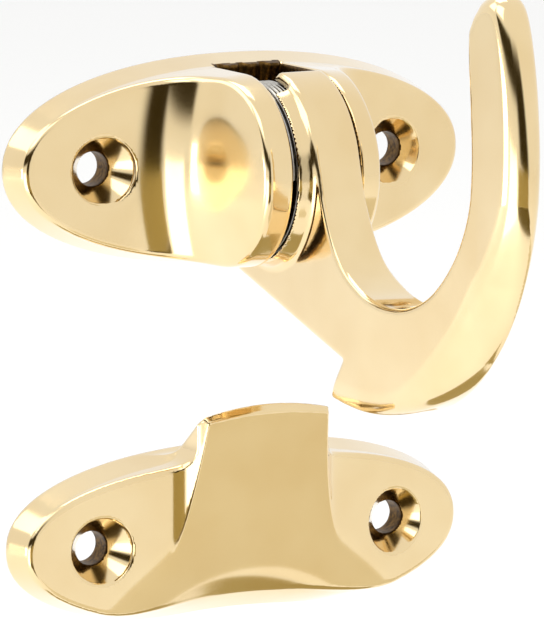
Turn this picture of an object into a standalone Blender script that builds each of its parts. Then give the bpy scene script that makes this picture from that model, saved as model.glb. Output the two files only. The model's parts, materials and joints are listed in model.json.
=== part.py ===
"""A brass hook latch for a window, with its separate strike: metres, +Z up, front towards -Y.

The origin is the middle of the latch's back face. X runs along the oval base, and +Y goes into the wall.
Outlines below are written as (out, up): out is the distance in front of the wall, which is -Y.
"""

import math

import bmesh
import bpy
from mathutils import Matrix, Vector

MM = 0.001

# Oval bases. Both are superellipses with a drafted side wall.
LATCH_HALF_LENGTH = 31.75 * MM
LATCH_HALF_HEIGHT = 13.2 * MM
LATCH_OVAL_POWER = 2.16
STRIKE_HALF_LENGTH = 31.6 * MM
STRIKE_HALF_HEIGHT = 11.5 * MM
STRIKE_OVAL_POWER = 2.24
WALL_HEIGHT = 4.4 * MM
WALL_INSET = 1.1 * MM

# Screw pads: flat, and falling slightly towards the ends of the oval.
PAD_HEIGHT = 5.7 * MM
PAD_SLOPE = 0.13
LATCH_HOLE_X = 20.75 * MM
STRIKE_HOLE_X = 21.2 * MM
SCREW_HOLE_RADIUS = 2.15 * MM
SCREW_HEAD_RADIUS = 4.2 * MM
COUNTERSINK_DEPTH = 2.6 * MM

# Knuckle and ear, whose outline is an arch round the pivot.
PIVOT_OUT = 13.2 * MM
ARCH_RADIUS = 12.2 * MM
FLANK_FOOT_X = 11.6 * MM
FLANK_TOP_X = 7.8 * MM
FLANK_FILLET = 4.0 * MM

# Slot for the lever, open at the top, the front and the bottom.
SLOT_LEFT_X = -4.4 * MM
SLOT_RIGHT_X = 5.0 * MM
SLOT_FLOOR_BOTTOM = 1.6 * MM
SLOT_FLOOR_MIDDLE = 1.7 * MM
SLOT_FLOOR_TOP = 5.0 * MM

# Pivot pin, pressed in from the ear and ending inside the knuckle.
PIN_RADIUS = 1.6 * MM
PIN_LEFT_X = -6.8 * MM
PIN_CLEARANCE = 0.15 * MM
PIN_END_RECESS = 0.3 * MM

# Return spring, coiled round the pin between knuckle and lever.
SPRING_WIRE_RADIUS = 0.28 * MM
SPRING_TURNS = 4.5
SPRING_MEAN_RADIUS = 10.6 * MM
SPRING_PITCH = 0.66 * MM
SPRING_SIDE_GAP = 0.35 * MM
SPRING_LEG = 2.2 * MM

# Lever.
SIDE_GAP = 0.4 * MM
BOSS_GAP = 0.6 * MM
LEVER_LEFT_X = -1.5 * MM
HUB_RADIUS = 12.5 * MM
HUB_BACK_RADIUS = 9.2 * MM
BOSS_RADIUS = 12.1 * MM
BOSS_WALL = 0.9 * MM
BOSS_ARC = (-105.0, 62.0)
HEEL_OUT = 2.1 * MM
HEEL_DROP = 12.8 * MM

# Strike, below the latch by the distance between the two centres.
STRIKE_DROP = 47.7 * MM
TONGUE_HALF_WIDTH = 8.7 * MM
TONGUE_CREST_OUT = 10.9 * MM
TONGUE_CREST_RISE = 17.0 * MM
TONGUE_LIP = 0.9 * MM
TONGUE_BACK_OUT = 3.4 * MM
RAMP_FOOT_OUT = 4.6 * MM
RAMP_FOOT_DROP = 9.6 * MM
RAMP_HOLLOW = 0.9 * MM

# Chin: the lower edge of the strike is ground back along a shallow trough that slopes to the wall.
CHIN_OUT = 5.0 * MM
CHIN_DROP = 6.2 * MM
CHIN_SLOPE = 0.9
CHIN_RADIUS = 32.6 * MM

BRASS = (0.86, 0.72, 0.42, 1.0)
STEEL = (0.55, 0.55, 0.54, 1.0)
OVERSHOOT = 5.0 * MM


def clear_scene():
    for obj in list(bpy.data.objects):
        bpy.data.objects.remove(obj, do_unlink=True)


def new_collection(name, hidden=False):
    collection = bpy.data.collections.new(name)
    bpy.context.scene.collection.children.link(collection)
    collection.hide_render = hidden
    return collection


def new_material(name, colour, roughness):
    material = bpy.data.materials.new(name)
    material.use_nodes = True
    shader = material.node_tree.nodes["Principled BSDF"]
    shader.inputs["Base Color"].default_value = colour
    shader.inputs["Metallic"].default_value = 1.0
    shader.inputs["Roughness"].default_value = roughness
    return material


def add_object(name, mesh, collection, colour=None, roughness=0.15):
    obj = bpy.data.objects.new(name, mesh)
    collection.objects.link(obj)
    if colour:
        mesh.materials.append(new_material(name, colour, roughness))
        mesh.shade_smooth()
        mesh.set_sharp_from_angle(angle=math.radians(30))
    return obj


def mesh_from(name, bm):
    bmesh.ops.recalc_face_normals(bm, faces=bm.faces)
    mesh = bpy.data.meshes.new(name)
    bm.to_mesh(mesh)
    bm.free()
    return mesh


def skin_rings(name, rings):
    """A closed mesh through rings of equal length, with a flat cap at each end."""
    bm = bmesh.new()
    loops = [[bm.verts.new(point) for point in ring] for ring in rings]
    count = len(loops[0])
    for lower, upper in zip(loops, loops[1:]):
        for i in range(count):
            j = (i + 1) % count
            bm.faces.new((lower[i], lower[j], upper[j], upper[i]))
    bm.faces.new(loops[0])
    bm.faces.new(loops[-1])
    return mesh_from(name, bm)


def oval(half_length, half_height, power, out, count=72):
    """One ring of a superellipse, lying parallel to the wall at the given distance from it."""
    ring = []
    for i in range(count):
        angle = 2 * math.pi * (i + 0.5) / count
        c, s = math.cos(angle), math.sin(angle)
        x = half_length * math.copysign(abs(c) ** (2 / power), c)
        z = half_height * math.copysign(abs(s) ** (2 / power), s)
        ring.append((x, -out, z))
    return ring


def prism(name, outline, depth, collection, along="X", centre=0.0):
    """A flat outline made solid: (out, up) extruded along X, or (x, out) extruded along Z."""
    curve = bpy.data.curves.new(name, "CURVE")
    curve.dimensions = "2D"
    curve.fill_mode = "BOTH"
    curve.extrude = depth / 2
    spline = curve.splines.new("POLY")
    spline.points.add(len(outline) - 1)
    for point, (u, v) in zip(spline.points, outline):
        point.co = (u, v, 0.0, 1.0)
    spline.use_cyclic_u = True
    obj = bpy.data.objects.new(name, curve)
    if along == "X":
        obj.matrix_world = Matrix(((0, 0, 1, centre), (-1, 0, 0, 0), (0, 1, 0, 0), (0, 0, 0, 1)))
    else:
        obj.matrix_world = Matrix(((1, 0, 0, 0), (0, -1, 0, 0), (0, 0, 1, centre), (0, 0, 0, 1)))
    collection.objects.link(obj)
    return mesh_of_curve(obj, collection)


def mesh_of_curve(curve_object, collection):
    """The curve's solid as a mesh object in the same place, with its caps welded on."""
    name = curve_object.name
    bpy.context.view_layer.update()
    evaluated = curve_object.evaluated_get(bpy.context.evaluated_depsgraph_get())
    mesh = bpy.data.meshes.new_from_object(evaluated)
    mesh.transform(curve_object.matrix_world)
    bpy.data.objects.remove(curve_object, do_unlink=True)
    bm = bmesh.new()
    bm.from_mesh(mesh)
    bmesh.ops.remove_doubles(bm, verts=bm.verts, dist=1e-6)
    bmesh.ops.recalc_face_normals(bm, faces=bm.faces)
    bm.to_mesh(mesh)
    bm.free()
    mesh.name = name
    return add_object(name, mesh, collection)


def cylinder(name, radius, left_x, right_x, out, up, collection, top_radius=None, turned="X", sides=48):
    """A cylinder or a cone along X between two x values, or from the wall outwards along -Y."""
    bm = bmesh.new()
    bmesh.ops.create_cone(
        bm, cap_ends=True, segments=sides, depth=right_x - left_x,
        radius1=radius, radius2=radius if top_radius is None else top_radius,
    )
    middle = (left_x + right_x) / 2
    if turned == "X":
        bm.transform(Matrix.Translation((middle, -out, up)) @ Matrix.Rotation(math.pi / 2, 4, "Y"))
    else:
        bm.transform(Matrix.Translation((out, -middle, up)) @ Matrix.Rotation(math.pi / 2, 4, "X"))
    return add_object(name, mesh_from(name, bm), collection)


def boolean(target, cutter, operation="DIFFERENCE"):
    modifier = target.modifiers.new(cutter.name, "BOOLEAN")
    modifier.operation = operation
    modifier.solver = "EXACT"
    modifier.object = cutter
    cutter.hide_render = True
    cutter.display_type = "WIRE"


def arc(centre, radius, start, end, steps):
    """Points round a centre, angles in degrees, 0 pointing out from the wall and 90 up."""
    points = []
    for i in range(steps + 1):
        angle = math.radians(start + (end - start) * i / steps)
        points.append((centre[0] + radius * math.cos(angle), centre[1] + radius * math.sin(angle)))
    return points


def smooth_through(points, steps):
    """A Catmull-Rom curve through the points, without its first and last control point."""
    made = []
    for p0, p1, p2, p3 in zip(points, points[1:], points[2:], points[3:]):
        for i in range(steps):
            t = i / steps
            made.append(tuple(
                0.5 * (2 * b + (c - a) * t + (2 * a - 5 * b + 4 * c - d) * t * t
                       + (3 * b - a - 3 * c + d) * t ** 3)
                for a, b, c, d in zip(p0, p1, p2, p3)
            ))
    made.append(points[-2])
    return made


def pad_out(x, hole_x):
    """How far the pad stands out at a distance x from the middle of the base."""
    return PAD_HEIGHT + PAD_SLOPE * (hole_x - x)


def fillet_between(corner, before, after, radius, steps=6):
    """The arc that rounds a corner, from the side towards `before` to the side towards `after`."""
    to_before = (Vector(before) - Vector(corner)).normalized()
    to_after = (Vector(after) - Vector(corner)).normalized()
    half = to_before.angle(to_after) / 2
    start = Vector(corner) + to_before * radius / math.tan(half)
    end = Vector(corner) + to_after * radius / math.tan(half)
    centre = Vector(corner) + (to_before + to_after).normalized() * radius / math.sin(half)
    first, last = (start - centre).normalized(), (end - centre).normalized()
    points = []
    for i in range(steps + 1):
        points.append(tuple(centre + first.slerp(last, i / steps) * radius))
    return points


def add_screw_holes(body, hole_x, drop, cutters):
    """A clearance hole and a countersink through each pad."""
    rim = PAD_HEIGHT + OVERSHOOT
    widen = (SCREW_HEAD_RADIUS - SCREW_HOLE_RADIUS) / COUNTERSINK_DEPTH
    for side, x in (("left", -hole_x), ("right", hole_x)):
        name = f"{body.name}_{side}"
        hole = cylinder(name + "_hole", SCREW_HOLE_RADIUS, -OVERSHOOT, rim, x, -drop, cutters, turned="Y")
        narrow = SCREW_HOLE_RADIUS / 2
        sink_start = PAD_HEIGHT - COUNTERSINK_DEPTH - (SCREW_HOLE_RADIUS - narrow) / widen
        sink = cylinder(
            name + "_sink", narrow, sink_start, rim, x, -drop, cutters,
            top_radius=narrow + widen * (rim - sink_start), turned="Y",
        )
        boolean(body, hole)
        boolean(body, sink)


def make_latch_body(parts, cutters):
    """The oval base with its two pads, the knuckle on the left and the ear on the right of the slot."""
    inner_length = LATCH_HALF_LENGTH - WALL_INSET
    rings = [
        oval(LATCH_HALF_LENGTH, LATCH_HALF_HEIGHT, LATCH_OVAL_POWER, 0),
        oval(inner_length, ARCH_RADIUS, LATCH_OVAL_POWER, WALL_HEIGHT),
    ]
    for angle in (0, 12, 24, 36, 48, 58, 68, 77, 84):
        rise = math.radians(angle)
        out = PIVOT_OUT + ARCH_RADIUS * math.sin(rise)
        rings.append(oval(inner_length, ARCH_RADIUS * math.cos(rise), LATCH_OVAL_POWER, out))
    body = add_object("latch_body", skin_rings("latch_body", rings), parts, BRASS)

    crown = PIVOT_OUT + ARCH_RADIUS + OVERSHOOT
    end_x = LATCH_HALF_LENGTH + OVERSHOOT
    foot = (FLANK_FOOT_X, pad_out(FLANK_FOOT_X, LATCH_HOLE_X))
    lean = (FLANK_FOOT_X - FLANK_TOP_X) / (PIVOT_OUT + ARCH_RADIUS - foot[1])
    top = (foot[0] - lean * (crown - foot[1]), crown)
    end = (end_x, pad_out(end_x, LATCH_HOLE_X))
    outline = [top, *fillet_between(foot, top, end, FLANK_FILLET), end, (end_x, crown)]
    for side in (-1, 1):
        name = "left_front" if side < 0 else "right_front"
        mirrored = [(side * x, out) for x, out in outline]
        boolean(body, prism(name, mirrored, 4 * LATCH_HALF_HEIGHT, cutters, along="Z"))

    tall = LATCH_HALF_HEIGHT + OVERSHOOT
    slope = (SLOT_FLOOR_TOP - SLOT_FLOOR_MIDDLE) / LATCH_HALF_HEIGHT
    slot = [
        (SLOT_FLOOR_BOTTOM, -tall), (crown, -tall), (crown, tall), (SLOT_FLOOR_MIDDLE + slope * tall, tall),
        (SLOT_FLOOR_MIDDLE, 0),
    ]
    slot_width = SLOT_RIGHT_X - SLOT_LEFT_X
    slot_middle = (SLOT_RIGHT_X + SLOT_LEFT_X) / 2
    boolean(body, prism("lever_slot", slot, slot_width, cutters, centre=slot_middle))

    bore = cylinder(
        "body_pin_bore", PIN_RADIUS + PIN_CLEARANCE, PIN_LEFT_X - PIN_CLEARANCE, LATCH_HALF_LENGTH,
        PIVOT_OUT, 0, cutters, sides=32,
    )
    boolean(body, bore)
    add_screw_holes(body, LATCH_HOLE_X, 0, cutters)
    return body


def make_pin(parts):
    """The pivot pin. Its right end sits just inside the ear's sloping face."""
    lean = (FLANK_FOOT_X - FLANK_TOP_X) / (PIVOT_OUT + ARCH_RADIUS - pad_out(FLANK_FOOT_X, LATCH_HOLE_X))
    reach = PIVOT_OUT + PIN_RADIUS - pad_out(FLANK_FOOT_X, LATCH_HOLE_X)
    right_x = FLANK_FOOT_X - lean * reach - PIN_END_RECESS
    pin = cylinder("pivot_pin", PIN_RADIUS, PIN_LEFT_X, right_x, PIVOT_OUT, 0, parts, sides=32)
    pin.data.materials.append(new_material("pivot_pin", BRASS, 0.3))
    return pin


def spring_left_x():
    return SLOT_LEFT_X + SPRING_SIDE_GAP


def spring_right_x():
    return spring_left_x() + 2 * SPRING_WIRE_RADIUS + SPRING_TURNS * SPRING_PITCH


def make_spring(parts):
    """A torsion spring: close turns round the pin, and a short leg bent inwards at each end."""
    curve = bpy.data.curves.new("return_spring", "CURVE")
    curve.dimensions = "3D"
    curve.bevel_depth = SPRING_WIRE_RADIUS
    curve.bevel_resolution = 2
    curve.use_fill_caps = True
    start_x = spring_left_x() + SPRING_WIRE_RADIUS
    steps = int(SPRING_TURNS * 28)
    turns = []
    for i in range(steps + 1):
        turn = SPRING_TURNS * i / steps
        angle = 2 * math.pi * turn
        turns.append((
            start_x + SPRING_PITCH * turn,
            -PIVOT_OUT - SPRING_MEAN_RADIUS * math.cos(angle),
            SPRING_MEAN_RADIUS * math.sin(angle),
        ))
    inwards = (SPRING_MEAN_RADIUS - SPRING_LEG) / SPRING_MEAN_RADIUS
    legs = [(x, -PIVOT_OUT + (y + PIVOT_OUT) * inwards, z * inwards) for x, y, z in (turns[0], turns[-1])]
    points = [legs[0], *turns, legs[1]]
    spline = curve.splines.new("POLY")
    spline.points.add(len(points) - 1)
    for point, place in zip(spline.points, points):
        point.co = (*place, 1.0)
    obj = bpy.data.objects.new("return_spring", curve)
    parts.objects.link(obj)
    spring = mesh_of_curve(obj, parts)
    spring.name = "return_spring"
    spring.data.materials.append(new_material("return_spring", STEEL, 0.35))
    return spring


def lever_outline():
    """The hook seen from its left side, as (out, up) points, clockwise from the top of the hub."""
    pivot = (PIVOT_OUT, 0.0)
    hub_front = arc(pivot, HUB_RADIUS, 78, 12, 8)
    finger_gap = [(p[0] * MM, p[1] * MM) for p in (
        (25.2, 4.5), (26.6, -1.9), (30.4, -8.8), (35.6, -12.2), (41.5, -13.4), (47.2, -12.7),
        (52.4, -10.2), (57.0, -5.4), (60.0, 0.2), (61.4, 6.0), (61.6, 13.0), (61.2, 18.5), (62.2, 22.6),
        (64.8, 25.2), (68.0, 25.6), (70.6, 23.4), (71.8, 19.0), (72.2, 12.0), (71.8, 5.0), (70.2, -2.2),
        (67.2, -9.2), (62.8, -15.4), (57.4, -20.4), (51.0, -24.0), (44.0, -26.2), (36.6, -26.9),
        (29.4, -25.9), (26.0, -25.0),
    )]
    nose_notch = (31.8 * MM, -21.4 * MM)
    heel = (HEEL_OUT, -HEEL_DROP)
    hub_back = arc(pivot, HUB_BACK_RADIUS, 212, 128, 7)
    return [*hub_front, *smooth_through(finger_gap, 2), nose_notch, heel, *hub_back]


def make_lever(parts, cutters):
    """The hook lever: an outline of one thickness, with a boss round the spring on its left side."""
    right_x = SLOT_RIGHT_X - SIDE_GAP
    lever = prism(
        "lever", lever_outline(), right_x - LEVER_LEFT_X, parts, centre=(right_x + LEVER_LEFT_X) / 2,
    )
    lever.data.materials.append(new_material("lever", BRASS, 0.12))
    boss_left = SLOT_LEFT_X + BOSS_GAP
    boss_right = LEVER_LEFT_X + 1.0 * MM
    outer = arc((PIVOT_OUT, 0), BOSS_RADIUS, BOSS_ARC[0], BOSS_ARC[1], 18)
    inner = arc((PIVOT_OUT, 0), BOSS_RADIUS - BOSS_WALL, BOSS_ARC[1], BOSS_ARC[0], 18)
    ring = prism("lever_boss", outer + inner, boss_right - boss_left, cutters, centre=(boss_left + boss_right) / 2)
    boolean(lever, ring, "UNION")
    pocket = cylinder(
        "spring_pocket", BOSS_RADIUS - BOSS_WALL, LEVER_LEFT_X - OVERSHOOT, spring_right_x() + SPRING_SIDE_GAP,
        PIVOT_OUT, 0, cutters, sides=56,
    )
    boolean(lever, pocket)
    bore = cylinder(
        "lever_pin_bore", PIN_RADIUS + PIN_CLEARANCE, LEVER_LEFT_X - OVERSHOOT, right_x + OVERSHOOT,
        PIVOT_OUT, 0, cutters, sides=32,
    )
    boolean(lever, bore)
    return lever


def make_chin_cutter(cutters):
    """A large cylinder lying along the slope of the chin, which meets it at the middle of the strike."""
    normal = Vector((0, -1, -CHIN_SLOPE)).normalized()
    along = Vector((0, -CHIN_SLOPE, 1)).normalized()
    bm = bmesh.new()
    bmesh.ops.create_cone(
        bm, cap_ends=True, segments=128, radius1=CHIN_RADIUS, radius2=CHIN_RADIUS, depth=8 * STRIKE_HALF_HEIGHT,
    )
    place = Vector((0, -CHIN_OUT, -CHIN_DROP - STRIKE_DROP)) + normal * CHIN_RADIUS
    bm.transform(Matrix.Translation(place) @ along.to_track_quat("Z", "X").to_matrix().to_4x4())
    mesh = bpy.data.meshes.new("chin_cutter")
    bm.to_mesh(mesh)
    bm.free()
    return add_object("chin_cutter", mesh, cutters)


def make_strike(parts, cutters):
    """The strike: a flatter oval base with two pads and a ramp that rises to an overhanging crest."""
    top_length = STRIKE_HALF_LENGTH - WALL_INSET
    top_height = STRIKE_HALF_HEIGHT - WALL_INSET
    crown = PAD_HEIGHT + OVERSHOOT
    rings = [
        oval(STRIKE_HALF_LENGTH, STRIKE_HALF_HEIGHT, STRIKE_OVAL_POWER, 0),
        oval(top_length, top_height, STRIKE_OVAL_POWER, WALL_HEIGHT),
        oval(top_length, top_height, STRIKE_OVAL_POWER, crown),
    ]
    mesh = skin_rings("strike", rings)
    mesh.transform(Matrix.Translation((0, 0, -STRIKE_DROP)))
    strike = add_object("strike", mesh, parts, BRASS)
    end_x = STRIKE_HALF_LENGTH + OVERSHOOT
    pads = [
        (-end_x, pad_out(end_x, STRIKE_HOLE_X)), (-TONGUE_HALF_WIDTH, pad_out(TONGUE_HALF_WIDTH, STRIKE_HOLE_X)),
        (TONGUE_HALF_WIDTH, pad_out(TONGUE_HALF_WIDTH, STRIKE_HOLE_X)), (end_x, pad_out(end_x, STRIKE_HOLE_X)),
        (end_x, crown + OVERSHOOT), (-end_x, crown + OVERSHOOT),
    ]
    boolean(strike, prism("strike_front", pads, 4 * STRIKE_HALF_HEIGHT, cutters, along="Z", centre=-STRIKE_DROP))

    crest = (TONGUE_CREST_OUT, TONGUE_CREST_RISE - TONGUE_LIP)
    foot = (RAMP_FOOT_OUT, -RAMP_FOOT_DROP)
    ramp = []
    for i in range(7):
        t = i / 6
        hollow = RAMP_HOLLOW * math.sin(math.pi * t)
        ramp.append((
            crest[0] + (foot[0] - crest[0]) * t - hollow,
            crest[1] + (foot[1] - crest[1]) * t,
        ))
    back = TONGUE_BACK_OUT
    profile = [
        (back, -RAMP_FOOT_DROP), (back, STRIKE_HALF_HEIGHT - 0.3 * MM),
        (TONGUE_CREST_OUT - TONGUE_LIP, TONGUE_CREST_RISE), *ramp,
    ]
    lowered = [(out, up - STRIKE_DROP) for out, up in profile]
    tongue = prism("strike_tongue", lowered, 2 * TONGUE_HALF_WIDTH, cutters)
    boolean(strike, tongue, "UNION")
    boolean(strike, make_chin_cutter(cutters))
    add_screw_holes(strike, STRIKE_HOLE_X, STRIKE_DROP, cutters)
    return strike


def main():
    clear_scene()
    parts = new_collection("window_hook_latch")
    cutters = new_collection("cutters", hidden=True)
    pivot = bpy.data.objects.new("pivot_axis", None)
    pivot.location = (0, -PIVOT_OUT, 0)
    parts.objects.link(pivot)
    make_latch_body(parts, cutters)
    make_pin(parts)
    make_spring(parts)
    lever = make_lever(parts, cutters)
    make_strike(parts, cutters)
    bpy.context.view_layer.update()
    lever.parent = pivot
    lever.matrix_parent_inverse = pivot.matrix_world.inverted()


main()
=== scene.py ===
import json
import math

import bpy
import numpy as np
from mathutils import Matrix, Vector


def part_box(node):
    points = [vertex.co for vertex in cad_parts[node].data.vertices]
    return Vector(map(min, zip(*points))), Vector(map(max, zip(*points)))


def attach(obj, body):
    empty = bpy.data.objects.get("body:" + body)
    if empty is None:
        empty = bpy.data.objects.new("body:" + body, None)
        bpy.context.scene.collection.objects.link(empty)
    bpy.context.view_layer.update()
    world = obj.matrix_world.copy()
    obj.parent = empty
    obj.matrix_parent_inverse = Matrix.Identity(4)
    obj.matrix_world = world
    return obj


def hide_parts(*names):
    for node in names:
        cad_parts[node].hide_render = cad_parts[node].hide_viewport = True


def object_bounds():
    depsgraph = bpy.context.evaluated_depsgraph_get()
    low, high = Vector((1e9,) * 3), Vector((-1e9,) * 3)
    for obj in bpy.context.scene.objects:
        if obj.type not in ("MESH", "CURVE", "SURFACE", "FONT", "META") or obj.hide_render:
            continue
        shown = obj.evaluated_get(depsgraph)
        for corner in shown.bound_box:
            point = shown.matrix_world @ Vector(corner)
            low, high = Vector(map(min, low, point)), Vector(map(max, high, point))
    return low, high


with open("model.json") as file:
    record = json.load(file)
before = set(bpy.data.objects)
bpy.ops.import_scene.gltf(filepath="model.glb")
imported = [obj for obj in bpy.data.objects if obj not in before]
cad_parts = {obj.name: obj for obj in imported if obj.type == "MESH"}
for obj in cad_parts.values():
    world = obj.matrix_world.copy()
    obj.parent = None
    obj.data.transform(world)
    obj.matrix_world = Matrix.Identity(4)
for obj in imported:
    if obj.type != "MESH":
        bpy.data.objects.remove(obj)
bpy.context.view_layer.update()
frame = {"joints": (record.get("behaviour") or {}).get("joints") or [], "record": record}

mm = 0.001

# Everything below is in millimetres until a mesh is written: x to the right, out in front of the
# wall, up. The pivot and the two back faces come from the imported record.
hinge = next(j for j in frame["joints"] if j["name"] == "lever_swing")
mounts = {m["name"]: m for m in frame["record"]["mounts"]}
pivotOut = -hinge["pos_m"][1] / mm
strikeUp = mounts["strike_back"]["pos_m"][2] / mm


def cadSpan(node):
    # low and high corners of a node as (x, out, up) in millimetres
    low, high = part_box(node)
    return (
        (low.x / mm, -high.y / mm, low.z / mm),
        (high.x / mm, -low.y / mm, high.z / mm),
    )


# A casting is described as a field: below zero inside the metal, above zero outside it. Fields are
# joined with a rounding radius, which is what a polishing wheel leaves on every edge.


def joined(a, b, radius):
    h = np.maximum(radius - np.abs(a - b), 0.0) / radius
    return np.minimum(a, b) - h * h * radius / 4


def softlyJoined(a, b, radius):
    h = np.maximum(radius - np.abs(a - b), 0.0) / radius
    return np.minimum(a, b) - h ** 3 * radius / 6


def common(a, b, radius):
    return -joined(-a, -b, radius)


def withoutPiece(a, b, radius):
    return common(a, -b, radius)


def gradientOf(field, points, reach=0.02):
    columns = []
    for axis in range(3):
        shift = np.zeros(3)
        shift[axis] = reach
        columns.append((field(*(points + shift).T) - field(*(points - shift).T)) / (2 * reach))
    return np.stack(columns, axis=1)


meshing = {
    # grid steps added before and after the piece's own box
    "before": 2.3,
    "after": 3.0,
    # grid steps in one coarse block, and how near its middle the surface must be to look closer
    "block": 4,
    "nearShare": 1.3,
    # halvings in the search for each crossing, and the pull of a point to the crossings' middle
    "halvings": 9,
    "hold": 0.06,
    # how far a point may leave its cell
    "slack": 0.1,
}


def fieldGrid(field, axes, step):
    # the field at every grid point near the surface, and only its sign far from it
    block = meshing["block"]
    counts = [-(-len(axis) // block) for axis in axes]
    middles = [
        axis[0] + step * (block * np.arange(n) + (block - 1) / 2) for axis, n in zip(axes, counts)
    ]
    coarse = field(*np.meshgrid(*middles, indexing="ij"))
    for axis in range(3):
        coarse = np.repeat(coarse, block, axis=axis)
    values = coarse[tuple(slice(0, len(axis)) for axis in axes)].copy()
    near = np.argwhere(np.abs(values) < meshing["nearShare"] * block * step)
    values[tuple(near.T)] = field(*(axes[i][0] + step * near[:, i] for i in range(3)))
    return values


def castMesh(name, field, isRaw, low, high, step):
    # a quad mesh on the zero level of a field: one vertex in each cell that the surface crosses,
    # placed where the tangent planes at the crossings meet, so that every edge stays clean
    before, after = meshing["before"] * step, meshing["after"] * step
    axes = [np.arange(low[i] - before, high[i] + after, step) for i in range(3)]
    start = np.array([axis[0] for axis in axes])
    values = fieldGrid(field, axes, step)
    inside = values < 0
    cells = tuple(n - 1 for n in values.shape)
    quads, crossings, leaving = [], [], []
    for axis in range(3):
        u, v = (axis + 1) % 3, (axis + 2) % 3
        here = [slice(1, n - 1) for n in values.shape]
        here[axis] = slice(0, values.shape[axis] - 1)
        there = list(here)
        there[axis] = slice(1, values.shape[axis])
        first, second = inside[tuple(here)], inside[tuple(there)]
        edges = np.argwhere(first != second) + np.array([1 if i != axis else 0 for i in range(3)])
        reach = np.eye(3)[axis] * step
        base = start + edges * step
        outward = first[first != second]
        near, far = np.zeros(len(edges)), np.ones(len(edges))
        for _ in range(meshing["halvings"]):
            middle = (near + far) / 2
            isIn = field(*(base + middle[:, None] * reach).T) < 0
            near = np.where(isIn == outward, middle, near)
            far = np.where(isIn == outward, far, middle)
        crossings.append(base + ((near + far) / 2)[:, None] * reach)
        around = []
        for du, dv in ((-1, -1), (0, -1), (0, 0), (-1, 0)):
            cell = edges.copy()
            cell[:, u] += du
            cell[:, v] += dv
            around.append(np.ravel_multi_index(cell.T, cells))
        quads.append(np.stack(around, axis=1))
        leaving.append(outward)
    crossings, quads, leaving = (np.concatenate(part) for part in (crossings, quads, leaving))
    slopes = gradientOf(field, crossings)
    slopes /= np.maximum(np.linalg.norm(slopes, axis=1, keepdims=True), 1e-9)

    used, owners = np.unique(quads, return_inverse=True)
    owners = owners.reshape(quads.shape)

    def gathered(amounts):
        return sum(np.bincount(owners[:, k], amounts, len(used)) for k in range(4))

    count = gathered(np.ones(len(quads)))
    middle = np.stack([gathered(crossings[:, i]) for i in range(3)], axis=1) / count[:, None]
    normals = np.stack([gathered(slopes[:, i]) for i in range(3)], axis=1)
    flat = (slopes * crossings).sum(1)
    matrix = np.zeros((len(used), 3, 3))
    right = np.zeros((len(used), 3))
    for i in range(3):
        right[:, i] = gathered(slopes[:, i] * flat)
        for j in range(3):
            matrix[:, i, j] = gathered(slopes[:, i] * slopes[:, j])
    hold = meshing["hold"] * count
    matrix += hold[:, None, None] * np.eye(3)
    points = np.linalg.solve(matrix, (right + hold[:, None] * middle)[..., None])[..., 0]
    corner = start + np.stack(np.unravel_index(used, cells), axis=1) * step
    slack = meshing["slack"]
    points = np.clip(points, corner - slack * step, corner + (1 + slack) * step)
    normals /= np.maximum(np.linalg.norm(normals, axis=1, keepdims=True), 1e-9)

    # (x, out, up) is left-handed beside (x, -out, up), so the faces are turned round here
    faces = owners.copy()
    faces[leaving] = faces[leaving][:, ::-1]
    points[:, 1] *= -1
    normals[:, 1] *= -1
    mesh = bpy.data.meshes.new(name)
    mesh.from_pydata((points * mm).tolist(), [], faces.tolist())
    mesh.update()
    mesh.shade_smooth()
    mesh.normals_split_custom_set_from_vertices(normals.tolist())
    middles = points[faces].mean(1) * (1, -1, 1)
    mesh.polygons.foreach_set("material_index", isRaw(*middles.T).astype(np.int32))
    print(name, len(points), "points", len(faces), "faces")
    piece = bpy.data.objects.new(name, mesh)
    bpy.context.scene.collection.objects.link(piece)
    return piece


def srgb(code):
    values = [int(code[i:i + 2], 16) / 255 for i in (1, 3, 5)]
    return [v / 12.92 if v <= 0.04045 else ((v + 0.055) / 1.055) ** 2.4 for v in values] + [1.0]


def addNode(tree, kind, links=(), **settings):
    node = tree.nodes.new(kind)
    for key, value in settings.items():
        if hasattr(node, key):
            setattr(node, key, value)
        else:
            node.inputs[key.replace("_", " ")].default_value = value
    for source, socket in links:
        tree.links.new(source, node.inputs[socket])
    return node


def newMaterial(name):
    material = bpy.data.materials.new(name)
    material.use_nodes = True
    tree = material.node_tree
    return material, tree, tree.nodes["Principled BSDF"]


brassLook = {
    "pale": "#F0D6A1",
    "deep": "#EACD94",
    "toneFrom": 0.35,
    "toneTo": 0.70,
    "roughness": (0.09, 0.15),
    "waveMm": 9.0,
    "buffMm": 0.35,
    "lacquer": 1.0,
    "lacquerRoughness": 0.06,
    "lacquerIor": 1.75,
}
rawLook = {
    "pit": "#3C2A14",
    "crest": "#7C5C2C",
    "toneFrom": 0.35,
    "toneTo": 0.75,
    "grainMm": 0.5,
    "markMm": 0.03,
    "markStrength": 0.4,
    "roughness": 0.45,
}
wireLook = {
    "oiled": "#8C8880",
    "bare": "#D2CFC8",
    "toneFrom": 0.0,
    "toneTo": 1.0,
    "grainMm": 0.4,
    "roughness": 0.28,
}
pinLook = {
    "colour": "#EBD29A",
    "roughness": (0.16, 0.30),
    "grainMm": 0.25,
}


def noiseAt(tree, sizeMm, detail):
    place = addNode(tree, "ShaderNodeTexCoord").outputs["Object"]
    links = [(place, "Vector")]
    return addNode(tree, "ShaderNodeTexNoise", links, Scale=1 / (sizeMm * mm), Detail=detail).outputs["Fac"]


def toneBetween(tree, shader, noise, first, second, look):
    tone = addNode(tree, "ShaderNodeValToRGB", [(noise, "Fac")])
    tone.color_ramp.elements[0].color = srgb(first)
    tone.color_ramp.elements[1].color = srgb(second)
    tone.color_ramp.elements[0].position = look["toneFrom"]
    tone.color_ramp.elements[1].position = look["toneTo"]
    tree.links.new(tone.outputs["Color"], shader.inputs["Base Color"])


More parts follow.
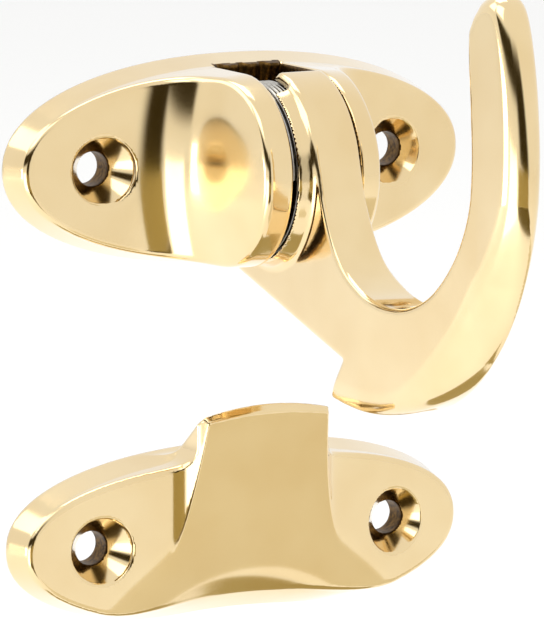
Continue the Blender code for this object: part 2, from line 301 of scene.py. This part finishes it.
def roughBetween(tree, shader, noise, reach):
    gloss = addNode(tree, "ShaderNodeMapRange", [(noise, "Value")])
    gloss.inputs["To Min"].default_value = reach[0]
    gloss.inputs["To Max"].default_value = reach[1]
    tree.links.new(gloss.outputs["Result"], shader.inputs["Roughness"])


def polishedBrass():
    # yellow brass casting, buffed to a mirror: pale yellow, faintly uneven where the wheel ran
    look = brassLook
    material, tree, shader = newMaterial("polishedCastBrass")
    toneBetween(tree, shader, noiseAt(tree, look["waveMm"], 2.0), look["pale"], look["deep"], look)
    roughBetween(tree, shader, noiseAt(tree, look["buffMm"], 3.0), look["roughness"])
    shader.inputs["Metallic"].default_value = 1.0
    shader.inputs["Coat Weight"].default_value = look["lacquer"]
    shader.inputs["Coat Roughness"].default_value = look["lacquerRoughness"]
    shader.inputs["Coat IOR"].default_value = look["lacquerIor"]
    return material


def rawBrass():
    # brass inside the holes and the slot, as cast and drilled: dull, brown and rough to the touch
    look = rawLook
    material, tree, shader = newMaterial("rawCastBrass")
    grain = noiseAt(tree, look["grainMm"], 4.0)
    toneBetween(tree, shader, grain, look["pit"], look["crest"], look)
    marks = addNode(
        tree, "ShaderNodeBump", [(grain, "Height")],
        Strength=look["markStrength"], Distance=look["markMm"] * mm,
    )
    tree.links.new(marks.outputs["Normal"], shader.inputs["Normal"])
    shader.inputs["Metallic"].default_value = 1.0
    shader.inputs["Roughness"].default_value = look["roughness"]
    return material


def springSteel():
    # drawn music wire: grey, uneven in tone where a trace of oil is left
    look = wireLook
    material, tree, shader = newMaterial("drawnSpringSteel")
    toneBetween(tree, shader, noiseAt(tree, look["grainMm"], 3.0), look["oiled"], look["bare"], look)
    shader.inputs["Metallic"].default_value = 1.0
    shader.inputs["Roughness"].default_value = look["roughness"]
    return material


def turnedBrass():
    # brass pin, turned and then faced: a finer, duller finish than the castings have
    look = pinLook
    material, tree, shader = newMaterial("turnedBrassPin")
    roughBetween(tree, shader, noiseAt(tree, look["grainMm"], 2.0), look["roughness"])
    shader.inputs["Base Color"].default_value = srgb(look["colour"])
    shader.inputs["Metallic"].default_value = 1.0
    return material


screwHole = {
    "radius": 2.15,
    "headRadius": 4.2,
    "sinkDepth": 2.6,
    "edge": 0.12,
    "headPast": 0.15,
    "rawPast": 0.12,
    "rawFrom": 0.1,
}


def holeField(x, out, up, holeX, holeUp, padOut):
    look = screwHole
    radial = np.hypot(x - holeX, up - holeUp)
    widen = (look["headRadius"] - look["radius"]) / look["sinkDepth"]
    cone = (radial - look["radius"] - widen * (out - padOut + look["sinkDepth"])) / math.hypot(1, widen)
    cone = np.maximum(cone, radial - look["headRadius"] - look["headPast"])
    return joined(radial - look["radius"], cone, look["edge"])


def inScrewHole(x, out, up, holeX, holeUp):
    look = screwHole
    near = np.hypot(np.abs(x) - holeX, up - holeUp) < look["radius"] + look["rawPast"]
    return near & (out > look["rawFrom"])


def ovalField(x, radial, halfLength, halfHeight, power):
    # distance to a superellipse cylinder, close to its surface
    u, v = np.abs(x) / halfLength + 1e-6, np.abs(radial) / halfHeight + 1e-6
    q = (u ** power + v ** power) ** (1 / power)
    du = (u / q) ** (power - 1) / halfLength
    dv = (v / q) ** (power - 1) / halfHeight
    return (q - 1) / np.hypot(du, dv)


latch = {
    "ovalPower": 2.16,
    "wallHeight": 4.4,
    "wallInset": 1.1,
    "padHeight": 5.7,
    "padSlope": 0.13,
    "holeX": 20.75,
    "flankFoot": 11.6,
    "flankTop": 7.8,
    "flankFillet": 10.0,
    "flankBulge": 46.0,
    "rimRound": 0.7,
    "slotLeft": -4.4,
    "slotRight": 5.0,
    # the floor of the slot: how far out it is at each height
    "floorUp": (-13.2, 0.0, 13.2),
    "floorOut": (1.6, 1.7, 5.0),
    # waves of the rough cast edge at the top of the slot: height, waves per mm in radians, start
    "castWaves": ((0.30, 2.1, 0.0), (0.16, 4.3, 1.0)),
    "castFrom": 8.0,
    "castOver": 4.0,
    "slotRound": 0.6,
    "slotCorner": 0.1,
    "floorCorner": 0.4,
    "backRound": 0.25,
    # how far raw metal reaches past the slot, and how far out it starts
    "rawPast": 0.1,
    "rawFrom": 0.8,
    "pinRadius": 1.75,
    "pinStop": -6.95,
    "pinCorner": 0.1,
    "pinEdge": 0.15,
}


def latchField(x, out, up):
    look = latch
    low, high = latchSpan
    halfLength, halfHeight = (high[0] - low[0]) / 2, (high[2] - low[2]) / 2
    inset = look["wallInset"] * np.clip(out / look["wallHeight"], 0, 1)
    rise = np.maximum(out - pivotOut, 0)
    shell = ovalField(
        x, np.hypot(rise, up), halfLength - inset, halfHeight - inset, look["ovalPower"],
    )

    across = np.abs(x)
    tilt = math.atan(look["padSlope"])
    pad = (out - look["padHeight"] + look["padSlope"] * (across - look["holeX"])) * math.cos(tilt)
    footOut = look["padHeight"] + look["padSlope"] * (look["holeX"] - look["flankFoot"])
    lean = math.atan((look["flankFoot"] - look["flankTop"]) / (high[1] - footOut))
    flank = (across - look["flankFoot"]) * math.cos(lean) + (out - footOut) * math.sin(lean)
    flank = flank + up ** 2 / (2 * look["flankBulge"])
    front = softlyJoined(pad, flank, look["flankFillet"])
    body = common(shell, front, look["rimRound"])
    body = common(body, -out, look["backRound"])

    ragged = sum(tall * np.sin(rate * x + start) for tall, rate, start in look["castWaves"])
    floor = np.interp(up, look["floorUp"], look["floorOut"])
    floor = floor + ragged * np.clip((up - look["castFrom"]) / look["castOver"], 0, 1)
    slot = common(look["slotLeft"] - x, x - look["slotRight"], look["slotCorner"])
    slot = common(slot, floor - out, look["floorCorner"])
    body = withoutPiece(body, slot, look["slotRound"])
    pinHole = np.hypot(out - pivotOut, up) - look["pinRadius"]
    pinHole = common(pinHole, look["pinStop"] - x, look["pinCorner"])
    body = withoutPiece(body, pinHole, look["pinEdge"])
    for side in (-1, 1):
        hole = holeField(x, out, up, side * look["holeX"], 0.0, look["padHeight"])
        body = withoutPiece(body, hole, screwHole["edge"])
    return body


def latchRaw(x, out, up):
    look = latch
    inSlot = (x > look["slotLeft"] - look["rawPast"]) & (x < look["slotRight"] + look["rawPast"])
    inSlot &= out > look["rawFrom"]
    reach = latchSpan[1][2] - look["wallInset"] + look["rawPast"]
    inSlot &= np.hypot(np.maximum(out - pivotOut, 0), up) < reach
    return inSlot | inScrewHole(x, out, up, look["holeX"], 0.0)


lever = {
    "left": -1.5,
    # the two side faces at each distance out
    "taperOut": (24.0, 36.0, 50.0, 62.0, 72.0),
    "leftFace": (-1.5, -1.4, -0.9, -0.2, 0.0),
    "rightFace": (4.6, 5.3, 5.0, 4.4, 4.1),
    "hubRadius": 12.5,
    "hubArc": (78.0, 12.0),
    "hubBack": 9.2,
    "hubBackArc": (212.0, 128.0),
    "arcSteps": 30,
    "curveSteps": 10,
    "bossRadius": 12.1,
    "bossWall": 0.9,
    "bossSlope": 0.35,
    "bossLeft": -3.8,
    "bossArc": (-105.0, 62.0),
    "bossDeep": 1.0,
    "bossEnd": 0.4,
    "pocketFloor": -0.2,
    "rawPast": 0.1,
    "rawDeep": 4.0,
    "bore": 1.75,
    "boreEdge": 0.2,
    "edgeRound": 0.6,
    "sideRound": 0.3,
    # the outer edge is rounder: where that starts, how far in it fades, and where along the hook
    "outerRound": 1.5,
    "outerStart": 1.3,
    "outerReach": 3.0,
    "outerFade": (32.0, 44.0),
    "bossRound": 0.6,
    "bossFillet": 0.7,
    "pocketRound": 0.3,
    # the slant along the outer edge: its width, steepness and softness at each height
    "rollUp": (-27.0, -18.0, -8.0, 2.0, 25.0),
    "rollWidth": (6.5, 6.0, 4.8, 2.0, 0.9),
    "rollSlope": (0.35, 0.50, 0.60, 0.80, 0.80),
    "rollSoft": (2.4, 2.0, 1.6, 1.4, 1.2),
    # toward the nose the slant narrows to a share of that, and the right face has less of it
    "rollNose": (44.0, 60.0),
    "rollNoseShare": (0.12, 1.0),
    "rollRight": 0.3,
    "outlineStep": 0.15,
    "outlineMargin": 3.0,
    "soften": 3,
}


def arcPoints(radius, start, end, steps):
    angles = np.radians(np.linspace(start, end, steps))
    return np.stack([pivotOut + radius * np.cos(angles), radius * np.sin(angles)], axis=1)


def curveThrough(points, steps):
    # a smooth curve through the points, without its first and last control point
    made = []
    for a, b, c, d in zip(points, points[1:], points[2:], points[3:]):
        a, b, c, d = (np.array(p) for p in (a, b, c, d))
        for i in range(steps):
            t = i / steps
            bend, twist = 2 * a - 5 * b + 4 * c - d, 3 * b - a - 3 * c + d
            made.append(0.5 * (2 * b + (c - a) * t + bend * t * t + twist * t ** 3))
    made.append(np.array(points[-2]))
    return np.array(made)


# the hook's two edges as (out, up); the first and last point of each only steer the curve
fingerSide = [
    (25.2, 4.5), (26.6, -1.9), (30.4, -8.8), (35.6, -12.2), (41.5, -13.4), (47.2, -12.7),
    (52.4, -10.2), (57.0, -5.4), (59.7, 0.2), (60.3, 6.0), (60.0, 13.0), (59.6, 18.5), (59.7, 22.0),
    (60.8, 24.9),
]
outerSide = [
    (59.7, 22.0), (60.8, 24.9), (63.4, 25.9), (65.8, 25.0), (67.6, 21.6), (69.1, 15.6), (69.9, 9.0),
    (69.9, 3.0), (69.1, -3.2), (66.8, -9.4), (62.8, -15.4), (57.4, -20.4), (51.0, -24.0), (44.0, -26.2),
    (36.6, -27.1), (28.2, -26.3), (24.0, -25.2),
]
noseNotch = (31.8, -21.2)
heel = (2.1, -12.8)


def segmentDistance(points, line, closed):
    # distance from each point to a run of straight segments
    ends = np.roll(line, -1, axis=0) if closed else line[1:]
    starts = line if closed else line[:-1]
    best = np.full(len(points), 1e9)
    for a, b in zip(starts, ends):
        along = b - a
        t = np.clip(((points - a) @ along) / (along @ along), 0, 1)
        best = np.minimum(best, np.hypot(*(points - a - t[:, None] * along).T))
    return best


def insideOutline(points, line):
    crossings = np.zeros(len(points), bool)
    for a, b in zip(line, np.roll(line, -1, axis=0)):
        spans = (a[1] > points[:, 1]) != (b[1] > points[:, 1])
        if a[1] != b[1]:
            edge = (b[0] - a[0]) * (points[:, 1] - a[1]) / (b[1] - a[1]) + a[0]
            crossings ^= spans & (points[:, 0] < edge)
    return crossings


def blurred(grid, passes):
    for _ in range(passes):
        for axis in (0, 1):
            padded = np.pad(grid, [(1, 1) if i == axis else (0, 0) for i in (0, 1)], mode="edge")
            if axis == 0:
                grid = 0.25 * padded[:-2] + 0.5 * padded[1:-1] + 0.25 * padded[2:]
            else:
                grid = 0.25 * padded[:, :-2] + 0.5 * padded[:, 1:-1] + 0.25 * padded[:, 2:]
    return grid


def makeLookup(grid, origin, step):
    # smooth reading of a grid of distances, quadratic B-spline in both directions
    rows, columns = grid.shape

    def weights(t):
        return 0.5 * (0.5 - t) ** 2, 0.75 - t ** 2, 0.5 * (0.5 + t) ** 2

    def read(out, up):
        u = np.clip((out - origin[0]) / step, 1, rows - 2.001)
        v = np.clip((up - origin[1]) / step, 1, columns - 2.001)
        iu, iv = np.rint(u).astype(int), np.rint(v).astype(int)
        wu, wv = weights(u - iu), weights(v - iv)
        total = 0
        for a in range(3):
            for b in range(3):
                total = total + wu[a] * wv[b] * grid[iu + a - 1, iv + b - 1]
        return total

    return read


def leverLookups():
    # readings of the distance to the hook's outline, and to its outer edge alone
    look = lever
    outer = curveThrough(outerSide, look["curveSteps"])
    outline = np.concatenate([
        arcPoints(look["hubRadius"], *look["hubArc"], look["arcSteps"]),
        curveThrough(fingerSide, look["curveSteps"])[:-1],
        outer,
        [noseNotch, heel],
        arcPoints(look["hubBack"], *look["hubBackArc"], look["arcSteps"]),
    ])
    step = look["outlineStep"]
    margin = look["outlineMargin"]
    origin = outline.min(0) - margin
    outs = np.arange(origin[0], outline[:, 0].max() + margin, step)
    ups = np.arange(origin[1], outline[:, 1].max() + margin, step)
    grid = np.stack(np.meshgrid(outs, ups, indexing="ij"), axis=-1).reshape(-1, 2)
    flat = segmentDistance(grid, outline, True)
    flat[insideOutline(grid, outline)] *= -1
    edge = segmentDistance(grid, outer, False)
    shape = (len(outs), len(ups))
    return (
        makeLookup(blurred(flat.reshape(shape), look["soften"]), origin, step),
        makeLookup(blurred(edge.reshape(shape), 2 * look["soften"]), origin, step),
    )


def leverField(x, out, up):
    look = lever
    flat = outlineDistance(out, up)
    fromEdge = outerDistance(out, up)
    rollWidth = np.interp(up, look["rollUp"], look["rollWidth"])
    rollWidth = rollWidth * np.interp(out, look["rollNose"], look["rollNoseShare"])
    rollSlope = np.interp(up, look["rollUp"], look["rollSlope"])
    rollSoft = np.interp(up, look["rollUp"], look["rollSoft"])
    roll = -joined(rollSlope * (fromEdge - rollWidth), 0 * fromEdge, rollSoft * rollSlope)
    roll = np.minimum(roll, rollSlope * rollWidth)
    left = np.interp(out, look["taperOut"], look["leftFace"])
    right = np.interp(out, look["taperOut"], look["rightFace"])
    sides = common(left + roll - x, x - right + look["rollRight"] * roll, look["sideRound"])
    hook = common(flat, sides, look["edgeRound"])
    atOuter = np.clip(look["outerStart"] - fromEdge / look["outerReach"], 0, 1)
    atOuter = atOuter * np.interp(out, look["outerFade"], (0, 1))
    hook = hook + (common(flat, sides, look["outerRound"]) - hook) * atOuter
    radial = np.hypot(out - pivotOut, up)
    angle = np.degrees(np.arctan2(up, out - pivotOut))
    middle, half = sum(look["bossArc"]) / 2, (look["bossArc"][1] - look["bossArc"][0]) / 2
    past = (np.abs(angle - middle) - half) * np.pi / 180 * radial
    shoulder = radial - look["bossRadius"] - look["bossSlope"] * np.minimum(x - look["left"], 0)
    boss = common(shoulder / math.hypot(1, look["bossSlope"]), look["bossLeft"] - x, look["bossRound"])
    boss = common(boss, np.maximum(past, x - look["left"] - look["bossDeep"]), look["bossEnd"])
    hook = joined(hook, boss, look["bossFillet"])
    pocket = radial - look["bossRadius"] + look["bossWall"]
    pocket = common(pocket, x - look["pocketFloor"], look["pocketRound"])
    hook = withoutPiece(hook, pocket, look["pocketRound"])
    return withoutPiece(hook, radial - look["bore"], look["boreEdge"])


def leverRaw(x, out, up):
    look = lever
    radial = np.hypot(out - pivotOut, up)
    inPocket = radial < look["bossRadius"] - look["bossWall"] + look["rawPast"]
    return inPocket & (x < look["left"] + look["rawDeep"])


strike = {
    "ovalPower": 2.24,
    "wallHeight": 4.4,
    "wallInset": 1.1,
    "padHeight": 5.7,
    "padSlope": 0.13,
    "holeX": 21.2,
    "halfHeight": 11.5,
    "tongueHalf": 8.1,
    "crestOut": 10.9,
    "crestUp": 17.6,
    "crestArc": 0.9,
    "lip": 0.9,
    "backOut": 3.4,
    "backInset": 0.3,
    "backDeep": 2.0,
    "backRound": 0.3,
    "rampFootOut": 5.2,
    "rampFootUp": -9.6,
    "rampHollow": 0.1,
    "sideFillet": 6.8,
    "sweepSink": 1.0,
    "sweepPast": 1.2,
    "sweepBlend": 4.0,
    "padBlend": 4.0,
    "rimRound": 0.7,
    "crestRound": 0.15,
    "edgeRound": 0.25,
    "footRound": 2.0,
    "chinOut": 5.9,
    "chinUp": -6.2,
    "chinSlope": 0.9,
    "chinRadius": 21.8,
    "chinRound": 6.0,
}


def strikeField(x, out, up):
    look = strike
    low, high = strikeSpan
    halfLength = (high[0] - low[0]) / 2
    up = up - strikeUp
    inset = look["wallInset"] * np.clip(out / look["wallHeight"], 0, 1)
    shell = ovalField(x, up, halfLength - inset, look["halfHeight"] - inset, look["ovalPower"])
    across = np.abs(x)
    tilt = math.atan(look["padSlope"])
    wide = -joined(-across, -look["tongueHalf"] + 0 * x, look["padBlend"])
    pad = (out - look["padHeight"] + look["padSlope"] * (wide - look["holeX"])) * math.cos(tilt)
    plate = common(shell, pad, look["rimRound"])

    # the ramp: a line from its foot to the crest, hollowed a little, with a slanted top behind it
    footOut, footUp = look["rampFootOut"], look["rampFootUp"]
    crestOut, crestUp = look["crestOut"], look["crestUp"] - look["crestArc"]
    along = np.array([crestOut - footOut, crestUp - footUp])
    length = np.hypot(*along)
    run = ((out - footOut) * along[0] + (up - footUp) * along[1]) / length
    ramp = ((out - footOut) * along[1] - (up - footUp) * along[0]) / length
    share = np.clip(run / length, 0, 1)
    ramp = ramp + look["rampHollow"] * 4 * share * (1 - share)
    topUp = look["crestUp"] - look["crestArc"] * (across / look["tongueHalf"]) ** 2
    backUp = look["halfHeight"] - look["backInset"]
    rise = (topUp - backUp) / (crestOut - look["lip"] - look["backOut"])
    top = (up - backUp - rise * (out - look["backOut"])) / np.hypot(1, rise)
    side = across - look["tongueHalf"]
    bevel = (out - crestOut + up - topUp + look["lip"]) / math.sqrt(2)
    block = common(common(ramp, top, look["crestRound"]), bevel, look["crestRound"])
    # each side of the tongue sweeps down to the pad in a wide fillet, which the ramp cuts across
    sweep = look["sideFillet"]
    deeper = pad + look["sweepSink"]
    cove = np.maximum(sweep, np.minimum(deeper, side)) - np.hypot(
        np.maximum(sweep - deeper, 0), np.maximum(sweep - side, 0),
    )
    within = joined(side - look["sweepPast"], shell + look["sweepSink"], look["sweepBlend"])
    block = common(block, np.maximum(cove, within), look["edgeRound"])
    block = common(block, footUp - up, look["footRound"])
    block = common(block, look["backOut"] - look["backDeep"] - out, look["backRound"])
    piece = softlyJoined(plate, block, 2 * look["sweepSink"])
    # the low edge in front of the ramp is cut back in a curved slant
    chin = out - look["chinOut"]
    chin = chin + look["chinSlope"] * (look["chinUp"] - up - x ** 2 / (2 * look["chinRadius"]))
    piece = common(piece, chin / math.hypot(1, look["chinSlope"]), look["chinRound"])
    piece = common(piece, -out, look["edgeRound"])
    for sign in (-1, 1):
        hole = holeField(x, out, up, sign * look["holeX"], 0.0, look["padHeight"])
        piece = withoutPiece(piece, hole, screwHole["edge"])
    return piece


def strikeRaw(x, out, up):
    return inScrewHole(x, out, up, strike["holeX"], strikeUp)


spring = {
    "wire": 0.28,
    "turns": 4.5,
    "meanRadius": 10.6,
    "pitch": 0.66,
    "left": -3.77,
    "leg": 2.2,
    "legShares": (1.0, 0.75, 0.5, 0.3, 0.15, 0.06),
    "sides": 12,
    "stepsPerTurn": 90,
}


def tubeMesh(name, path, radius, sides):
    # a round wire along a path, closed with a small dome at each end
    path = np.array(path)
    tangent = np.gradient(path, axis=0)
    tangent /= np.linalg.norm(tangent, axis=1, keepdims=True)
    first = np.cross(tangent, (1.0, 0.0, 0.0))
    first /= np.linalg.norm(first, axis=1, keepdims=True)
    second = np.cross(tangent, first)
    angles = np.linspace(0, 2 * np.pi, sides, endpoint=False)
    # each dome ring: its radius and its distance past the end, as shares of the wire's radius
    dome = ((0.55, 0.85), (0.9, 0.45))
    rings = []
    for share, shift in dome:
        rings.append((path[0] - tangent[0] * radius * shift, first[0], second[0], share))
    rings += [(p, f, s, 1.0) for p, f, s in zip(path, first, second)]
    for share, shift in dome[::-1]:
        rings.append((path[-1] + tangent[-1] * radius * shift, first[-1], second[-1], share))
    points = [
        p + radius * share * (math.cos(t) * f + math.sin(t) * s)
        for p, f, s, share in rings for t in angles
    ]
    faces = []
    for i in range(len(rings) - 1):
        for j in range(sides):
            k = (j + 1) % sides
            faces.append((i * sides + j, i * sides + k, (i + 1) * sides + k, (i + 1) * sides + j))
    faces.append(tuple(range(sides))[::-1])
    faces.append(tuple((len(rings) - 1) * sides + j for j in range(sides)))
    mesh = bpy.data.meshes.new(name)
    mesh.from_pydata([tuple(p * mm) for p in points], [], faces)
    mesh.update()
    mesh.shade_smooth()
    piece = bpy.data.objects.new(name, mesh)
    bpy.context.scene.collection.objects.link(piece)
    return piece


def makeSpring():
    look = spring
    steps = int(look["turns"] * look["stepsPerTurn"])
    path = []
    for i in range(steps + 1):
        turn = look["turns"] * i / steps
        angle = 2 * math.pi * turn
        path.append((
            look["left"] + look["pitch"] * turn,
            -pivotOut - look["meanRadius"] * math.cos(angle),
            look["meanRadius"] * math.sin(angle),
        ))
    axis = np.array([0, -pivotOut, 0])

    def leg(end):
        end = np.array(end)
        towards = axis - end
        towards[0] = 0
        towards = towards / np.linalg.norm(towards)
        return [tuple(end + towards * look["leg"] * share) for share in look["legShares"]]

    path = leg(path[0]) + path + leg(path[-1])[::-1]
    return tubeMesh("returnSpring", path, look["wire"], look["sides"])


pin = {
    "chamfer": 0.3,
    "edge": 0.06,
    "sides": 64,
    # the centre mark on the right end: its rim and floor as shares of the radius, and its depths
    "markShares": (0.35, 0.2),
    "markDepths": (0.15, 0.2),
}


def makePin():
    # a turned pin: a profile spun round the pivot, with a chamfer at each end
    (left, _, low), (right, _, high) = cadSpan("pivot_pin")
    radius = (high - low) / 2
    cut = pin["chamfer"]
    rim, floor = (radius * share for share in pin["markShares"])
    slope, deep = pin["markDepths"]
    profile = [
        (left, 0.0), (left, radius - cut), (left + cut, radius), (right - cut, radius),
        (right, radius - cut), (right, rim), (right - slope, floor), (right - deep, 0.0),
    ]
    mesh = bpy.data.meshes.new("pivotPin")
    points = [(x * mm, 0.0, r * mm) for x, r in profile]
    mesh.from_pydata(points, [(i, i + 1) for i in range(len(points) - 1)], [])
    piece = bpy.data.objects.new("pivotPin", mesh)
    bpy.context.scene.collection.objects.link(piece)
    piece.location = (0, -pivotOut * mm, 0)
    turn = piece.modifiers.new("turn", "SCREW")
    turn.axis = "X"
    turn.steps = turn.render_steps = pin["sides"]
    turn.use_merge_vertices = True
    turn.merge_threshold = 0.01 * mm
    turn.use_normal_calculate = True
    bevel = piece.modifiers.new("edge", "BEVEL")
    bevel.width = pin["edge"] * mm
    bevel.segments = 2
    return piece


latchSpan, leverSpan, strikeSpan = (cadSpan(n) for n in ("latch_body", "lever", "strike"))
cell = 0.25
print("castings")
outlineDistance, outerDistance = leverLookups()
brass, raw = polishedBrass(), rawBrass()
for name, node, field, isRaw, body, slotName in (
    ("latchBody", "latch_body", latchField, latchRaw, "latch", "body_brass"),
    ("hookLever", "lever", leverField, leverRaw, "hook", "lever_brass"),
    ("strikePlate", "strike", strikeField, strikeRaw, "keeper", "strike_brass"),
):
    low, high = cadSpan(node)
    piece = castMesh(name, field, isRaw, low, high, cell)
    piece.data.materials.append(brass)
    piece.data.materials.append(raw)
    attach(piece, body)
    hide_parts(node)

print("spring and pin")
for name, node, make, finish, slotName in (
    ("returnSpring", "return_spring", makeSpring, springSteel, "spring_steel"),
    ("pivotPin", "pivot_pin", makePin, turnedBrass, "pin_brass"),
):
    piece = make()
    piece.data.materials.append(finish())
    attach(piece, "latch")
    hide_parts(node)


# the floor's drop is in millimetres; its reaches, and every lamp and card below, are in metres
stageLook = {
    "floorDrop": 190.0,
    "frontReach": 1.4,
    "backReach": 6.0,
    "colour": "#FBFBFA",
    "roughness": 0.9,
    "shine": 0.1,
}


def makeStage():
    # a pale floor, short in front of the object and long behind it
    look = stageLook
    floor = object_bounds()[0].z - look["floorDrop"] * mm
    front, back = look["frontReach"], look["backReach"]
    corners = ((-front, -front), (front, -front), (back, back), (-back, back))
    mesh = bpy.data.meshes.new("paleFloor")
    mesh.from_pydata([(x, y, floor) for x, y in corners], [], [(0, 1, 2, 3)])
    sweep = bpy.data.objects.new("paleFloor", mesh)
    bpy.context.scene.collection.objects.link(sweep)
    material, _, shader = newMaterial("whitePaperSweep")
    shader.inputs["Base Color"].default_value = srgb(look["colour"])
    shader.inputs["Roughness"].default_value = look["roughness"]
    shader.inputs["Specular IOR Level"].default_value = look["shine"]
    sweep.data.materials.append(material)


def addSoftbox(name, place, target, width, height, power, colour="#FFFFFF"):
    data = bpy.data.lights.new(name, "AREA")
    data.shape = "RECTANGLE"
    data.size, data.size_y = width, height
    data.energy = power
    data.color = srgb(colour)[:3]
    lamp = bpy.data.objects.new(name, data)
    bpy.context.scene.collection.objects.link(lamp)
    lamp.location = place
    lamp.rotation_euler = (Vector(target) - Vector(place)).to_track_quat("-Z", "Y").to_euler()


def direction(azimuth, elevation):
    # unit vector; azimuth in degrees from straight in front of the object, positive to the right
    a, e = math.radians(azimuth), math.radians(elevation)
    return Vector((math.sin(a) * math.cos(e), -math.cos(a) * math.cos(e), math.sin(e)))


roomLook = {
    "wallColour": "#FCFCFC",
    "darkColour": "#342B12",
    # each dark patch: azimuth from and to, elevation from and to, and the softness of its edge
    "darkPatches": [(-52, -5, -40, 26, 13), (-104, -36, 1, 26, 6)],
    # name, azimuth, elevation, distance, width, height, watts
    "softboxes": [
        ("keySoftbox", -75, 48, 1.6, 0.9, 0.9, 3.5),
        ("fillSoftbox", -125, 40, 1.6, 0.9, 0.9, 3.0),
        ("backSoftbox", 170, 68, 1.6, 1.0, 0.8, 5.0),
        ("lowCard", -72, -17.5, 0.50, 0.36, 0.21, 0.38),
        ("rimStrip", -113, -13, 1.20, 0.40, 0.50, 2.4),
    ],
}


def lightRoom():
    # a pale room with the dark side where the viewer stands, and soft lamps out of sight
    look = roomLook
    world = bpy.data.worlds.new("studio")
    bpy.context.scene.world = world
    world.use_nodes = True
    tree = world.node_tree
    place = addNode(tree, "ShaderNodeTexCoord").outputs["Generated"]
    way = addNode(tree, "ShaderNodeSeparateXYZ", [(place, "Vector")]).outputs

    def maths(operation, *values):
        node = addNode(tree, "ShaderNodeMath", operation=operation)
        for socket, value in zip(node.inputs, values):
            if isinstance(value, (int, float)):
                socket.default_value = value
            else:
                tree.links.new(value, socket)
        return node.outputs["Value"]

    def step(value, start, end):
        node = addNode(tree, "ShaderNodeMapRange", [(value, "Value")], interpolation_type="SMOOTHSTEP")
        node.inputs["From Min"].default_value = start
        node.inputs["From Max"].default_value = end
        return node.outputs["Result"]

    azimuth = maths("ARCTAN2", way["X"], maths("MULTIPLY", way["Y"], -1.0))
    elevation = maths("ARCSINE", way["Z"])
    dark = None
    for *reach, soft in look["darkPatches"]:
        left, right, low, high = (math.radians(v) for v in reach)
        soft = math.radians(soft)
        patch = maths("MULTIPLY", step(azimuth, left, left + soft), step(azimuth, right, right - soft))
        tall = maths("MULTIPLY", step(elevation, low, low + soft), step(elevation, high, high - soft))
        patch = maths("MULTIPLY", patch, tall)
        dark = patch if dark is None else maths("MAXIMUM", dark, patch)
    shade = addNode(tree, "ShaderNodeValToRGB", [(dark, "Fac")])
    shade.color_ramp.elements[0].color = srgb(look["wallColour"])
    shade.color_ramp.elements[1].color = srgb(look["darkColour"])
    tree.links.new(shade.outputs["Color"], tree.nodes["Background"].inputs["Color"])
    for name, azimuth, elevation, distance, width, height, power in look["softboxes"]:
        place = distance * direction(azimuth, elevation)
        addSoftbox(name, place, (0, 0, 0), width, height, power)


# name, azimuth, elevation, distance, width, height, colour
cards = [
    ("darkCard", -29, -34, 0.50, 0.30, 0.24, "#5C4E22"),
    ("duskCard", -29, -14, 0.50, 0.30, 0.11, "#A3935F"),
    ("tanCard", 30, -42, 0.27, 0.30, 0.13, "#D2CCBA"),
    ("chinCard", 5, -84, 0.16, 0.14, 0.09, "#A6996E"),
]


def addCards():
    # cloth cards low in front, seen only in the metal: they shade the fillets and the ramp
    for name, azimuth, elevation, distance, width, height, colour in cards:
        w, h = width / 2, height / 2
        mesh = bpy.data.meshes.new(name)
        mesh.from_pydata([(-w, -h, 0), (w, -h, 0), (w, h, 0), (-w, h, 0)], [], [(0, 1, 2, 3)])
        card = bpy.data.objects.new(name, mesh)
        bpy.context.scene.collection.objects.link(card)
        card.location = distance * direction(azimuth, elevation)
        card.rotation_euler = (-card.location).to_track_quat("Z", "Y").to_euler()
        card.visible_camera = False
        card.visible_diffuse = False
        card.visible_shadow = False
        material, _, shader = newMaterial(name)
        shader.inputs["Base Color"].default_value = srgb(colour)
        shader.inputs["Roughness"].default_value = 1.0
        shader.inputs["Specular IOR Level"].default_value = 0.0
        card.data.materials.append(material)


cameraLook = {
    "azimuth": -28.0,
    "elevation": 7.5,
    "distance": 0.714,
    # what the lens is aimed at, in millimetres to the right of the origin and above it
    "aimRight": 5.4,
    "aimUp": -19.75,
    "heightSeen": 78.6,
    "sensor": 24.0,
    "clip": (0.01, 20.0),
}


def addCamera():
    look = cameraLook
    towards = direction(look["azimuth"], look["elevation"])
    right = Vector((-towards.y, towards.x, 0)).normalized()
    aim = (look["aimRight"] * right + look["aimUp"] * towards.cross(right)) * mm
    data = bpy.data.cameras.new("camera")
    camera = bpy.data.objects.new("camera", data)
    bpy.context.scene.collection.objects.link(camera)
    data.sensor_fit = "VERTICAL"
    data.sensor_height = look["sensor"]
    data.lens = look["sensor"] * look["distance"] / (look["heightSeen"] * mm)
    data.clip_start, data.clip_end = look["clip"]
    camera.location = towards * look["distance"]
    camera.rotation_euler = (aim - camera.location).to_track_quat("-Z", "Y").to_euler()
    bpy.context.scene.camera = camera


makeStage()
addCards()
lightRoom()
addCamera()
bpy.context.scene.view_settings.view_transform = "Standard"
print("stage, light and camera")
